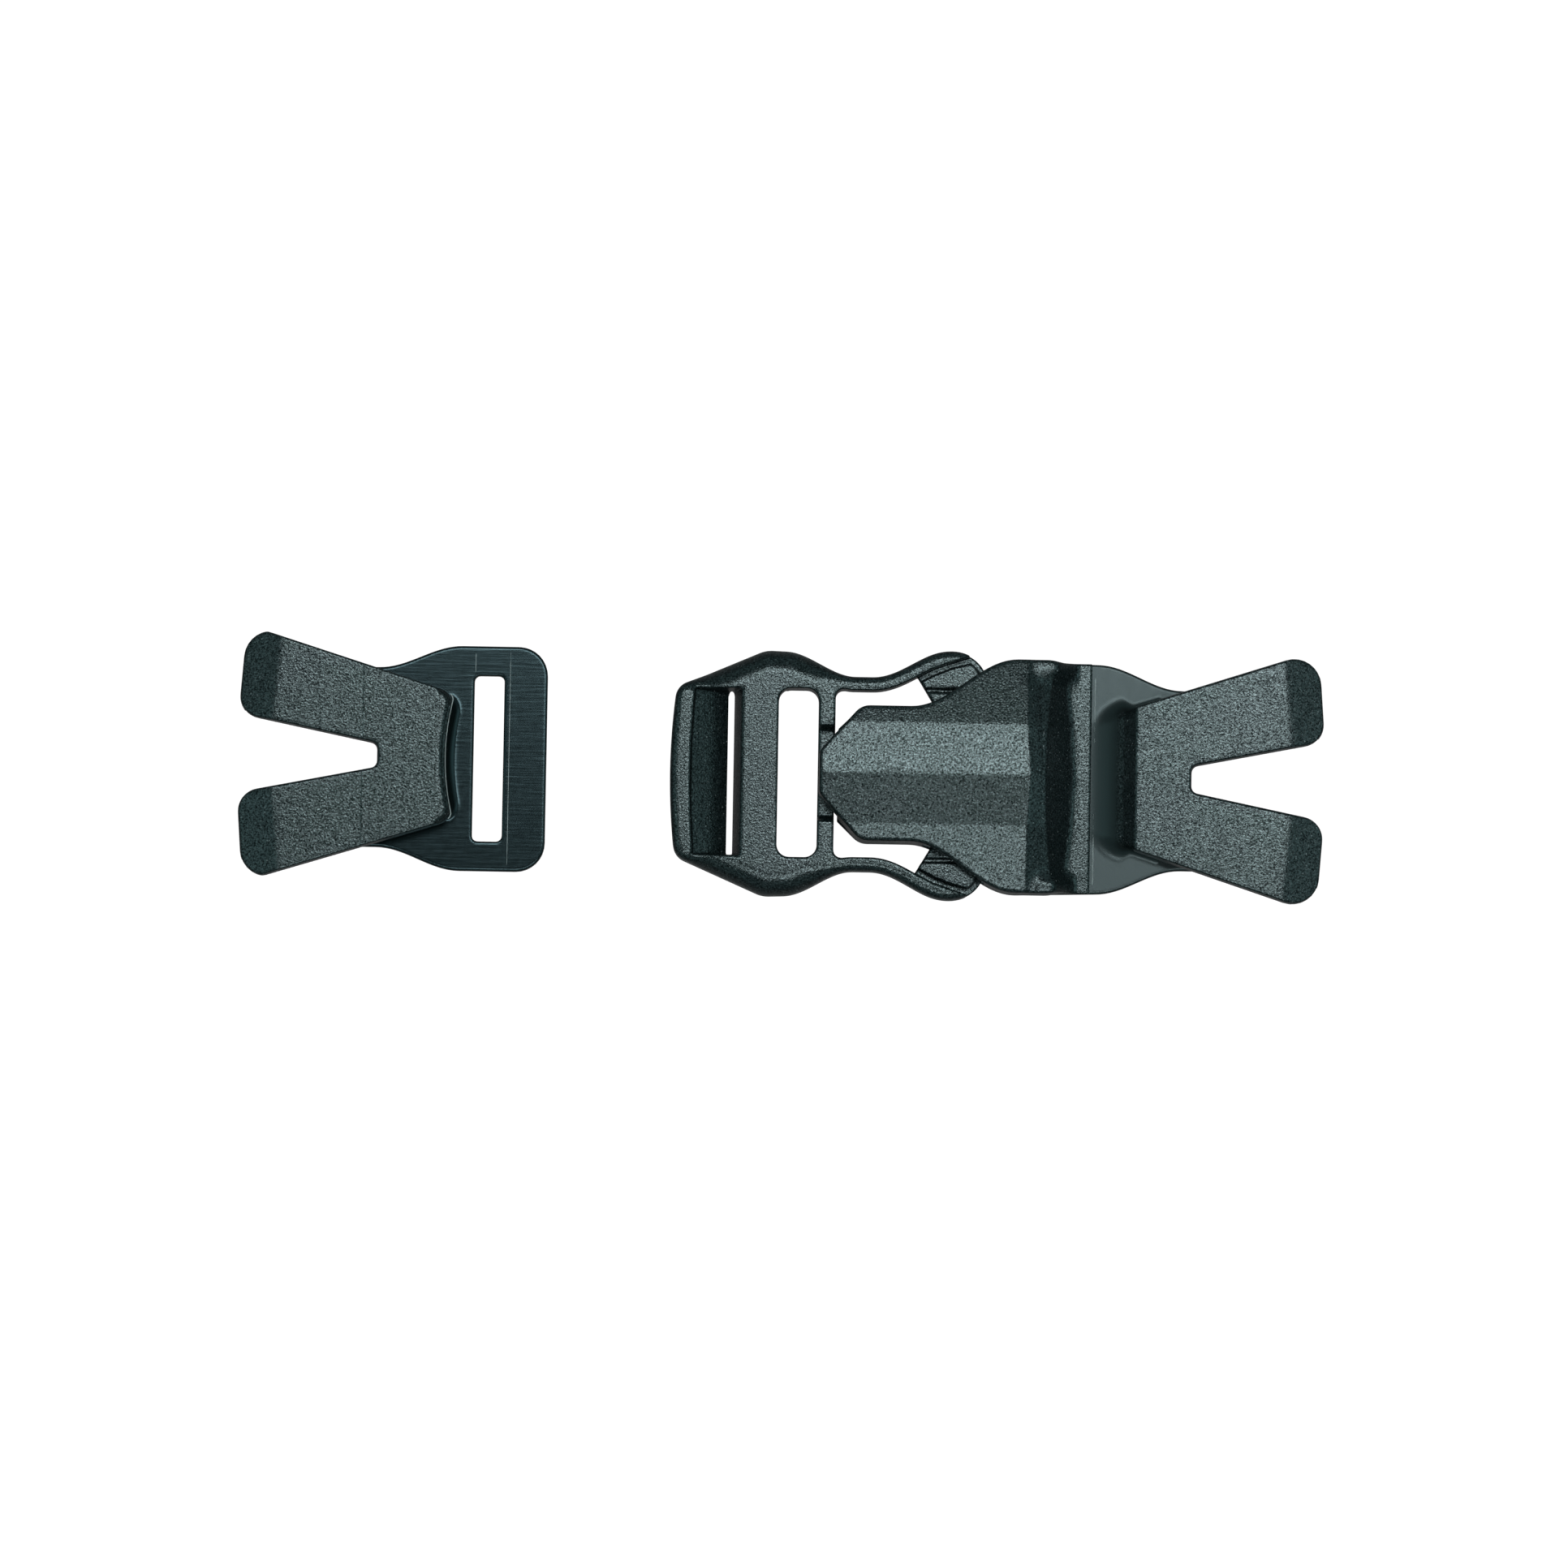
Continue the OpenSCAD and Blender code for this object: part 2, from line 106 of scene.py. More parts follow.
# Receiver, on the buckle's centre line
NOSE_X, NOSE, FLARE_X, HOUSE, WALL = 5.8, 10.6, 36.5, 18.2, 1.5
PART_X, TOE, TOE_NARROW = 48.4, PLATE + 0.4, 0.35
RIDGE_HALF, RIDGE_DROP = 7.8, 0.5
ROOF_SLOPE, BAND_SLOPE, SCOOP_SLOPE = slope(12), slope(27), slope(53)
BAND_X, SCOOP_X, SCOOP_SOFT = 38.6, 40.9, 0.8
HOLLOW_END, FRONT_TOP = 40.0, 4.9
SIDE_MOUTH_X, SIDE_MOUTH_Y, SIDE_MOUTH_TOP = 22.3, 8.6, 6.1
RAIL_X, RAIL_REACH, RAIL_Y, RAIL_HALF, RAIL_HIGH = 24, 12, 5.3, 0.4, 2.4
RIB_X, RIB_HALF, RIB_TOP = 32.98, 1.27, 4.9
RECEIVER_NECK_X, ROOT_WALL, ROOT_INSET = 62.2, math.radians(50), 0.35

# Plug, on the buckle's centre line
RIM_X, RIM_HALF, FRAME_HALF, WAIST, ARM_HALF = -17.0, 13.0, 18.8, 14.9, 19.3
WAIST_X, BULGE_X, BULGE_RADIUS = 12.5, 26.5, 5.5
WINDOW_X, HINGE_X, BAND = 8.3, 10.0, 1.95
CROSSBAR_TOP, CROSSBAR_HALF = 4.6, 7.5
PLUG_SLOT = (-0.5, 5.7, 13.1, 1.9)
RECESS_FLOOR, RECESS_SLOPE, RECESS_HALF = 1.6, 3.3 / 5.4, 13.0
SLIT_FROM, SLIT_TO, SLIT_HALF = -8.3, -7.4, 12.8
RELIEF_TOP, RELIEF_HALF = 1.1, 13.1
PAD_LOW, PAD_TOP, PAD_GULLY, PAD_GROOVE = PLATE + 0.3, 4.6, 3.1, 3.7
MOUTH_X, CATCH_X, ARM_END = 31.4, 34.4, 38.6

# Cuts between pieces: forks and arms at an x, plate and root at a height. A hinged piece reaches
# OVERLAP past its cut, thinner there by COLLAR
FORK_CUT, ARM_CUT, SPLIT = -19.2, 9.3, 3.3
OVERLAP, COLLAR = 0.45, 0.004

# Where each moulding's own millimetres lie in the frame: a turn along x, 1 or -1, and an offset
BUCKLE_PLACE = 1, (0, BUCKLE_Y, 0)
FORK_PLACE = 1, (SPAN, BUCKLE_Y, 0)
LOOP_PLACE = -1, (-SPAN, LOOP_Y, 0)


# ------------------------------------------------------------- distance fields


def ease(t):
    """Smooth step from 0 to 1."""
    return (1 - np.cos(np.pi * np.clip(t, 0, 1))) / 2


def mix(a, b, t):
    """From a to b as t goes from 0 to 1."""
    return a + (b - a) * t


def rmax(a, b, r):
    """Intersection of two solids, with the edge between them rounded to r."""
    return np.minimum(np.maximum(a, b), -r) + np.hypot(np.maximum(a + r, 0), np.maximum(b + r, 0))


def rmin(a, b, r):
    """Union of two solids, with a fillet of r between them."""
    return -rmax(-a, -b, r)


def rounded(corners, steps=8):
    """Closed outline from (x, y, radius) corners."""
    points = []
    n = len(corners)
    for i, (x, y, r) in enumerate(corners):
        b = np.array([x, y], float)
        if r <= 0:
            points.append(b)
            continue
        u = np.array(corners[i - 1][:2], float) - b
        v = np.array(corners[(i + 1) % n][:2], float) - b
        u, v = u / np.linalg.norm(u), v / np.linalg.norm(v)
        half = math.acos(max(-1, min(1, float(u @ v)))) / 2
        centre = b + (u + v) / np.linalg.norm(u + v) * r / math.sin(half)
        p, q = b + u * r / math.tan(half) - centre, b + v * r / math.tan(half) - centre
        start = math.atan2(p[1], p[0])
        sweep = math.atan2(p[0] * q[1] - p[1] * q[0], float(p @ q))
        for k in range(steps + 1):
            a = start + sweep * k / steps
            points.append(centre + r * np.array([math.cos(a), math.sin(a)]))
    return points


def mirrored(half):
    """Closes a half outline, given along x, with its mirror image."""
    return list(half) + [(x, -y, *rest) for x, y, *rest in reversed(half)]


def slot_outline(x_from, x_to, half, r):
    """Rounded rectangle across the centre line."""
    return rounded([(x_from, -half, r), (x_to, -half, r), (x_to, half, r), (x_from, half, r)])


def plan(points, X, Y):
    """Signed distance in plan to a closed outline."""
    px, py = X + 0 * Y, Y + 0 * X
    best = np.full(px.shape, 1e9)
    inside = np.zeros(px.shape, bool)
    for (ax, ay), (bx, by) in zip(points, list(points[1:]) + [points[0]]):
        ex, ey = bx - ax, by - ay
        t = np.clip(((px - ax) * ex + (py - ay) * ey) / (ex * ex + ey * ey + 1e-12), 0, 1)
        best = np.minimum(best, (px - ax - t * ex) ** 2 + (py - ay - t * ey) ** 2)
        if ay != by:
            inside ^= ((ay > py) != (by > py)) & (px < ex * (py - ay) / ey + ax)
    distance = np.sqrt(best)
    return np.where(inside, -distance, distance)


def slab(d, low, top, Z, r_top=0.2, r_low=0.25):
    """Solid with the plan distance d between two heights, with rounded edges."""
    return rmax(rmax(d, Z - top, r_top), low - Z, r_low)


def under(H, X, Y, Z):
    """Distance to the solid below the height field H."""
    gx, gy = np.gradient(H[:, :, 0], X[:, 0, 0], Y[0, :, 0])
    return (Z - H) / np.sqrt(1 + gx**2 + gy**2)[:, :, None]


# --------------------------------------------------------------------- meshing

BOX_CORNERS = [(a, b, c) for a in (0, 1) for b in (0, 1) for c in (0, 1)]


def grid(low, high):
    """Sample points on a lattice that every piece shares, so cut faces meet."""
    axes = [
        (np.arange(math.floor(a / CELL) - 2, math.ceil(b / CELL) + 3) + 0.37) * CELL
        for a, b in zip(low, high)
    ]
    return axes[0][:, None, None], axes[1][None, :, None], axes[2][None, None, :]


def crossed_cells(inside):
    """Cells of the lattice that have corners both inside and outside."""
    count = sum(
        inside[tuple(slice(k, n - 1 + k) for k, n in zip(corner, inside.shape))].astype(np.int8)
        for corner in BOX_CORNERS
    )
    return np.argwhere((count > 0) & (count < len(BOX_CORNERS)))


def cell_points(field, cells):
    """One point in each cell, the mean of where its edges cross the surface, in cells."""
    total = np.zeros((len(cells), 3))
    hits = np.zeros(len(cells))
    for axis in range(3):
        others = [k for k in range(3) if k != axis]
        for s in (0, 1):
            for t in (0, 1):
                a = cells.copy()
                a[:, others[0]] += s
                a[:, others[1]] += t
                b = a.copy()
                b[:, axis] += 1
                fa, fb = field[tuple(a.T)], field[tuple(b.T)]
                hit = (fa < 0) != (fb < 0)
                point = a - cells + 0.0
                point[:, axis] += np.where(hit, fa / np.where(hit, fa - fb, 1), 0)
                total[hit] += point[hit]
                hits += hit
    return cells + total / hits[:, None]


def cell_quads(inside, index):
    """A face round each lattice edge that crosses the surface, turned outwards."""
    quads = []
    for axis in range(3):
        u, v = [(1, 2), (2, 0), (0, 1)][axis]
        lower = [slice(1, -1)] * 3
        lower[axis] = slice(0, -1)
        upper = list(lower)
        upper[axis] = slice(1, None)
        a, b = inside[tuple(lower)], inside[tuple(upper)]
        edges = np.argwhere(a != b)
        out = a[tuple(edges.T)]
        base = edges + 1
        base[:, axis] -= 1
        ring = []
        for du, dv in ((-1, -1), (0, -1), (0, 0), (-1, 0)):
            c = base.copy()
            c[:, u] += du
            c[:, v] += dv
            ring.append(index[tuple(c.T)])
        ring = np.stack(ring, 1)
        ring[~out] = ring[~out][:, ::-1]
        quads.append(ring)
    return np.concatenate(quads)


def field_normals(field, guide, local):
    """Directions at points given in cells, from guide; the faces of a cut take their own from field."""
    slopes = np.gradient(guide, CELL)
    corner = np.clip(np.floor(local).astype(int), 0, np.array(guide.shape) - 2)
    share = local - corner
    normals = np.zeros_like(local)
    for steps in BOX_CORNERS:
        at = tuple((corner + steps).T)
        weight = np.prod(np.where(steps, share, 1 - share), axis=1)
        for k in range(3):
            normals[:, k] += weight * slopes[k][at]
    at = tuple(corner.T)
    cut = np.abs(guide[at]) > 1.2 * CELL
    normals[cut] = np.stack([g[at] for g in np.gradient(field, CELL)], 1)[cut]
    return normals / (np.linalg.norm(normals, axis=1)[:, None] + 1e-9)


def new_object(name, mesh, grain):
    """Puts a mesh in the scene, with each vertex's share of the moulded grain."""
    layer = mesh.attributes.new("grain", "FLOAT", "POINT")
    layer.data.foreach_set("value", grain.astype(np.float32))
    piece = bpy.data.objects.new(name, mesh)
    bpy.context.scene.collection.objects.link(piece)
    return piece


def surface(name, field, guide, axes, place, grain=None):
    """Meshes the solid where field is negative; grain gives each point's share of the texture."""
    inside = field < 0
    cells = crossed_cells(inside)
    index = np.full([n - 1 for n in field.shape], -1, np.int64)
    index[tuple(cells.T)] = np.arange(len(cells))
    local = cell_points(field, cells)
    points = np.array([axis.flat[0] for axis in axes]) + local * CELL
    quads = cell_quads(inside, index)
    turn, offset = place
    if turn < 0:
        quads = quads[:, ::-1]
    world = points * (turn, 1, 1) + offset
    normals = field_normals(field, guide, local) * (turn, 1, 1)
    mesh = bpy.data.meshes.new(name)
    mesh.vertices.add(len(world))
    mesh.vertices.foreach_set("co", (world / 1000).astype(np.float32).ravel())
    mesh.loops.add(quads.size)
    mesh.loops.foreach_set("vertex_index", quads.astype(np.int32).ravel())
    mesh.polygons.add(len(quads))
    mesh.polygons.foreach_set("loop_start", np.arange(0, quads.size, 4, dtype=np.int32))
    mesh.update(calc_edges=True)
    mesh.polygons.foreach_set("use_smooth", np.ones(len(quads), bool))
    mesh.normals_split_custom_set_from_vertices(normals.tolist())
    return new_object(name, mesh, np.ones(len(points)) if grain is None else grain(points))


# ----------------------------------------------------------------------- forks


def outer_y(x):
    """Half width over a fork's outer edges."""
    return ROOT_HALF + (x + ROOT_END) * FORK_SLOPE


def notch_y(x):
    """Half width of the notch between a fork's tines."""
    return NOTCH_HALF + (x + NOTCH) * NOTCH_SLOPE


def fork_field(X, Y, Z, back, back_r, notch):
    """The raised fork plate: two tines with ramped tips on a root."""
    half = [
        (back, outer_y(back), back_r),
        (-TIP_SHORT - (outer_y(0) - TIP_MIDDLE) * TIP_LEAN, outer_y(0), 4.0),
        (-TIP_SHORT - 0.05, notch_y(0), 3.3),
        (-notch, notch_y(-notch), 1.3),
    ]
    d = plan(rounded(mirrored(half)), X, Y)
    drafted = d - (FORK_TOP - Z) * FORK_DRAFT
    body = slab(drafted, FORK_UNDER, FORK_TOP, Z, 0.18, 0.3)
    ramp_x = -TIP_RAMP - (abs(Y) - TIP_MIDDLE) * TIP_LEAN
    ramp = (Z - FORK_TOP) * math.cos(TIP_ANGLE) + (X - ramp_x) * math.sin(TIP_ANGLE)
    body = rmax(body, ramp, 0.1)
    lip = rmax(slab(drafted, LIP_LOW, FORK_UNDER + 0.5, Z, 0.1, 0.3), -LIP_LONG - X, 0.3)
    return np.minimum(body, lip)


def root_sides(X, Y):
    """Distance to the planes that carry a fork's outer edges down to the root block."""
    return (abs(Y) - outer_y(X)) * math.cos(math.radians(ROOT_SIDE))


def neck_half_points(x_wide, half_wide, x_neck, notch):
    """Half outline of a base plate from its wide part, through its neck, to the legs."""
    curve = [
        (mix(x_wide, x_neck, t), mix(half_wide, NECK, float(ease(t))), 0)
        for t in np.linspace(0, 1, 17)
    ]
    legs = [(-14.5, NECK, 3.0), (-14.5, 4.2, 1.5), (-notch, notch_y(-notch), 0)]
    return curve + legs


def join_root(plate, block, fillet, x, Z):
    """A base plate with its root block on a fillet, flat below. x is the fork's own."""
    base = rmin(plate, block, fillet + 0 * Z)
    base = np.where(x > -BLOCK_FRONT + 0.4, plate, base)
    return rmax(base, 0.0 - Z, 0.3)


# ------------------------------------------------------------------- loop clip


def loop_fields(X, Y, Z):
    """The whole loop clip, and its fork alone."""
    half = [(LOOP_END, LOOP_HALF, 4.5)]
    half += neck_half_points(LOOP_WIDE_X, LOOP_HALF, LOOP_NECK_X, LOOP_NOTCH)
    plate = slab(plan(rounded(mirrored(half)), X, Y), 0, PLATE, Z, 0.3, 0.35)
    slot = plan(slot_outline(*LOOP_SLOT), X, Y)
    plate = rmax(plate, -slot - 0 * Z, 0.2)
    # root block, with a bowed end that widens downwards
    bow = BOW_RADIUS - np.hypot(X + BOW_X + BOW_RADIUS, Y)
    side = root_sides(X, Y)
    draft = LOOP_ROOT_DRAFT * np.maximum(FORK_TOP - 0.9 - Z, 0)
    foot = rmax(side + 1.1, bow - draft, 1.6)
    block = np.maximum(np.maximum(foot, X + BLOCK_FRONT), np.maximum(Z - FORK_TOP + 0.5, 0.3 - Z))
    base = join_root(plate, block, mix(1.3, 0.5, ease((X + 33.4) / 2.0)), X, Z)
    # fork, bevelled where it ends over the block
    brow = rmax(side, bow, 2.2)
    bevel = (brow * 0.75 + (Z - FORK_TOP + 0.75) * 0.8) / 1.097
    end = rmax(brow - draft, np.where(X < -31.0, bevel, -9.0), 0.12)
    fork = rmax(fork_field(X, Y, Z, LOOP_FORK_BACK, 0.5, LOOP_NOTCH), end, 0.12)
    return np.minimum(base, fork), fork


# -------------------------------------------------------------------- receiver


def housing_half_points(back, inset=0.0):
    """Half outline of the receiver's housing: nose, throat and flare, up to x = back."""
    half = [(NOSE_X + inset, 3.4, 1.8), (12.3, NOSE - inset, 3.0), (17, NOSE - inset, 0)]
    for t in np.linspace(0, 1, 19):
        half.append((mix(20.0, FLARE_X, t), mix(NOSE, HOUSE, float(ease(t))) - inset, 0))
    half.append((back, HOUSE - inset, 0))
    return half


def roof_height(Y):
    """Height of the cover's four long facets."""
    a = abs(Y)
    shallow = RIDGE - a * (RIDGE_DROP / RIDGE_HALF)
    steep = RIDGE - RIDGE_DROP - (a - RIDGE_HALF) * ROOF_SLOPE
    return np.minimum(shallow, steep)


def cover_height(X, Y):
    """Height of the cover: roof, chamfer band, scooped end wall and the cheeks beside it."""
    a = abs(Y) + 0 * X
    roof = roof_height(Y) + 0 * X
    band_x = BAND_X - 0.5 * np.minimum(a / 8, 1)
    wall_x = SCOOP_X + (a / 16) ** 2
    band = roof - np.maximum(X - band_x, 0) * BAND_SLOPE
    brow = roof - (wall_x - band_x) * BAND_SLOPE
    above = brow - (X - wall_x) * SCOOP_SLOPE - TOE
    scoop = TOE + (above + np.sqrt(above**2 + SCOOP_SOFT**2)) / 2
    height = np.where(X > wall_x, scoop, band)
    cheek = mix(6.9 - 0.06 * (X - 40) - 0.1 * (a - 15), TOE, ease((X - 42.0) / 4.4))
    return mix(height, cheek, ease((a - 13.9) / 3.0) * ease((X - 36.0) / 5.0))


def cover_field(X, Y, Z):
    """The receiver's hollow cover, open at the front and at the sides for the latch arms."""
    a = abs(Y) + 0 * X
    d = plan(rounded(mirrored(housing_half_points(PART_X))), X, Y)
    drafted = d - (RIDGE - 2 - Z) * 0.03 + 0.1 + TOE_NARROW * ease((X - 41) / 3)
    edge = mix(0.45, 0.15, ease((X - 44) / 2))
    outer = rmax(drafted, under(cover_height(X, Y), X, Y, Z), edge)
    outer = np.maximum(outer, PLATE - 0.02 - Z)
    hollow = plan(rounded(mirrored(housing_half_points(HOLLOW_END + 0.2, WALL))), X, Y)
    hollow = np.maximum(np.maximum(hollow, Z - (roof_height(Y) + 0 * X) + WALL), X - HOLLOW_END)
    field = rmax(outer, -hollow, 0.1)
    front = np.maximum(X - WINDOW_X - 0.5, Z - FRONT_TOP)
    field = rmax(field, -front, 0.15)
    mouth = np.maximum(SIDE_MOUTH_X - X, X - MOUTH_X - 0.3)
    mouth = np.maximum(mouth, np.maximum(SIDE_MOUTH_Y - a, Z - SIDE_MOUTH_TOP))
    return rmax(field, -mouth, 0.2)


def base_field(X, Y, Z):
    """Floor, web plate, guide rails, latch ribs and the fork's root."""
    a = abs(Y)
    L = X - SPAN
    half = [(WINDOW_X + 0.5, 7.2, 0)]
    half += [p for p in housing_half_points(FLARE_X) if p[0] > 10]
    neck = neck_half_points(PART_X + 0.6 - SPAN, HOUSE - TOE_NARROW, RECEIVER_NECK_X - SPAN, NOTCH)
    half += [(x + SPAN, y, r) for x, y, r in neck]
    plate = slab(plan(rounded(mirrored(half)), X, Y), 0, PLATE, Z, 0.25, 0.35)
    rails = np.maximum(abs(a - RAIL_Y) - RAIL_HALF, abs(X - RAIL_X) - RAIL_REACH)
    rails = np.maximum(rails, np.maximum(Z - PLATE - RAIL_HIGH, 1 - Z))
    inner = plan(rounded(mirrored(housing_half_points(PART_X, WALL - 0.1))), X, Y)
    ribs = np.maximum(np.maximum(inner, WAIST - a), abs(X - RIB_X) - RIB_HALF)
    ribs = np.maximum(ribs, np.maximum(Z - RIB_TOP, 1 - Z))
    plate = np.minimum(plate, np.minimum(rails, ribs))
    wall = -(L + ROOT_END) * math.sin(ROOT_WALL) + (Z - FORK_TOP) * math.cos(ROOT_WALL)
    block = rmax(root_sides(L, Y) + ROOT_INSET, wall, 0.8)
    block = np.maximum(np.maximum(block, L + BLOCK_FRONT), np.maximum(Z - FORK_TOP + 0.3, 0.3 - Z))
    base = join_root(plate, block, mix(2.9, 1.3, ease((L + 32.0) / 2.5)), L, Z)
    fork = rmax(fork_field(L, Y, Z, -ROOT_END - 0.3, 0.6, NOTCH), wall, 0.15)
    return np.minimum(base, fork)


# ------------------------------------------------------------------------ plug


def plug_half(x):
    """Half width of the plug: frame, waist, bulge of the arms and their round ends."""
    if x < WAIST_X:
        return mix(FRAME_HALF, WAIST, float(ease((x - WAIST_X + 12.2) / 11.0)))
    if x < BULGE_X:
        return mix(WAIST, ARM_HALF, float(ease((x - WAIST_X - 1.5) / (BULGE_X - WAIST_X - 1.5))))
    return ARM_HALF - BULGE_RADIUS + math.sqrt(max(BULGE_RADIUS**2 - (x - BULGE_X) ** 2, 0))


def plug_outline():
    """Outline over the frame and the arms' bands."""
    half = [(RIM_X + 0.7 * (y / 12) ** 2, y, 0) for y in np.linspace(0.4, 10, 9)]
    half += [(-16.2, RIM_HALF, 2.6), (-2.6, FRAME_HALF + 0.1, 4.5)]
    half += [(x, plug_half(x), 0) for x in np.linspace(0.4, MOUTH_X, 56)]
    return rounded(mirrored(half))


def pad_outline():
    """Outline of an arm's lower part: finger pad, neck through the mouth, latch tooth."""
    arm = [(x, plug_half(x), 0) for x in np.linspace(HINGE_X, MOUTH_X, 40)]
    arm += [
        (MOUTH_X, WAIST - 0.4, 0.1), (CATCH_X, WAIST - 0.4, 0.1), (CATCH_X, WAIST + 1.2, 0.3),
        (37.2, WAIST + 0.6, 1.2), (ARM_END, 12.6, 1.2), (33.0, 10.9, 2.0), (23.5, 11.0, 0.8),
    ]
    arm += [(x, plug_half(x) - BAND, r) for x, r in ((20.8, 0.5), (17.0, 0), (13.5, 0), (HINGE_X, 0))]
    return rounded(arm)


def plug_top(X, a):
    """Height of the frame, with a dip at the crossbar, and then of the arms."""
    top = mix(FRAME_TOP, FRAME_TOP - 0.3, ease((X - 6) / 5)) + 0 * a
    dip = ease((CROSSBAR_HALF - a) / 0.9) * ease(X - 4.4)
    return mix(top, CROSSBAR_TOP, dip)


def carve_frame(field, X, Y, Z):
    """Cuts the webbing slot, the sloping recess, the slit and the relief out of the frame."""
    a = abs(Y) + 0 * X
    slot = plan(slot_outline(*PLUG_SLOT), X, Y)
    field = rmax(field, -slot + 0 * Z, 0.3)
    # the recess lies between the rim and the mid bar's flank
    floor = RECESS_FLOOR + np.maximum(SLIT_FROM - X, 0) * RECESS_SLOPE
    rim_x = -14.0 + 0.5 * (a / 12) ** 2
    flank = SLIT_TO + 0.05 + (Z - RECESS_FLOOR) * 0.25
    recess = np.maximum((floor - Z) * 0.85, (rim_x - X) * 0.95)
    recess = np.maximum(recess, (X - flank) * 0.97)
    recess = np.maximum(recess, a - RECESS_HALF - (Z - FRAME_TOP) * 0.1)
    field = rmax(field, -recess, 0.35)
    slit = [
        (SLIT_FROM, -SLIT_HALF, 0.3), (SLIT_TO, -SLIT_HALF, 0.3),
        (SLIT_TO, SLIT_HALF - 0.8, 0.1), (SLIT_TO - 0.3, SLIT_HALF, 0.1),
        (SLIT_FROM + 0.3, SLIT_HALF, 0.1), (SLIT_FROM, SLIT_HALF - 0.8, 0.1),
    ]
    field = rmax(field, -plan(rounded(slit), X, Y) + 0 * Z, 0.12)
    # the webbing wraps over the mid bar, through a relief below it
    relief = np.maximum(Z - RELIEF_TOP - (X + 8.6) * 0.08, X - 0.5)
    relief = np.maximum(relief, np.maximum(-11.5 - X, a - RELIEF_HALF))
    return rmax(field, -relief, 0.2)


def plug_field(X, Y, Z):
    """The plug without its tongue: ladder-lock frame and two latch arms."""
    a = abs(Y) + 0 * X
    d = plan(plug_outline(), X, Y)
    crown = mix(mix(1.1, 3.2, ease((X + 16) / 5)), 1.25, ease((X - 3) / 7))
    wide = mix(0.2, 0.0, ease((X - 22) / 6))
    field = rmax((d - wide) * mix(0.9, 1.0, ease((X - 3) / 7)), Z - plug_top(X, a), crown)
    field = rmax(field, mix(FRAME_LOW, 1.1, ease((X - 6) / 6)) - Z, 0.4)
    # windows beside the arms' bands, which thin towards their ends
    band = BAND * np.clip(1 - np.clip((X - 24.6) / 4.6, 0, 1) ** 2, 0.0, 1)
    window = rmax(d + band, WINDOW_X - X + 0 * a, 1.6)
    field = rmax(field, -window + 0 * Z, 0.22)
    field = carve_frame(field, X, Y, Z)
    # pads, set off from the bands by a gully and ribbed by a groove
    pad = slab(plan(pad_outline(), X, abs(Y)), PAD_LOW, PAD_TOP, Z, 0.3, 0.3)
    gully = rmax(abs(d + band + 0.42) - 0.52, 20.9 - X, 0.2)
    pad = rmax(pad, -np.maximum(gully, PAD_GULLY - Z), 0.15)
    groove = np.maximum(abs(a - 13.2) - 0.32, 22.0 - X)
    pad = rmax(pad, -np.maximum(groove, PAD_GROOVE - Z), 0.12)
    return np.minimum(field, pad)


# ---------------------------------------------------------------------- pieces

pieces = {}


def cut_piece(name, field, axes, place, planes, collar=None, grain=None):
    """One piece of a moulding: its field cut by planes, and thinner where collar is negative."""
    part = field if collar is None else np.where(collar + 0 * field < 0, field + COLLAR, field)
    for plane in planes:
        part = np.maximum(part, plane + 0 * part)
    pieces[name] = surface(name, part, field, axes, place, grain)


def grain_above(low, rise):
    """Polished below the height low, grained from low + rise."""
    return lambda points: np.clip((points[:, 2] - low) / rise, 0, 1)


def cut_pair(stem, field, axes, place, cut):
    """The two pieces that hinge at x = cut, one on each side of the centre line."""
    X, Y, _ = axes
    for side, tag in ((1, "upper"), (-1, "lower")):
        planes = [cut - OVERLAP - X, 0.5 - side * Y]
        cut_piece(f"{stem}_{tag}", field, axes, place, planes, X - cut)


def build_loop_clip():
    """Base plate, root and two tines. The base takes in all that lies below the tines."""
    axes = X, Y, Z = grid((-48, -20, -0.4), (0.3, 20, FORK_TOP + 0.4))
    whole, fork = loop_fields(X, Y, Z)
    base = np.minimum(np.maximum(fork, X - FORK_CUT), np.maximum(whole, Z - FORK_UNDER + 1.2))
    base = np.minimum(base, np.maximum(whole, X - FORK_CUT))
    grain = grain_above(2.9, 0.5)
    cut_piece("loop_clip_base", base, axes, LOOP_PLACE, [Z - SPLIT - 0.05], grain=grain)
    cut_piece("loop_clip_root", base, axes, LOOP_PLACE, [SPLIT - Z], grain=grain)
    cut_pair("loop_clip_tine", fork, axes, LOOP_PLACE, FORK_CUT)


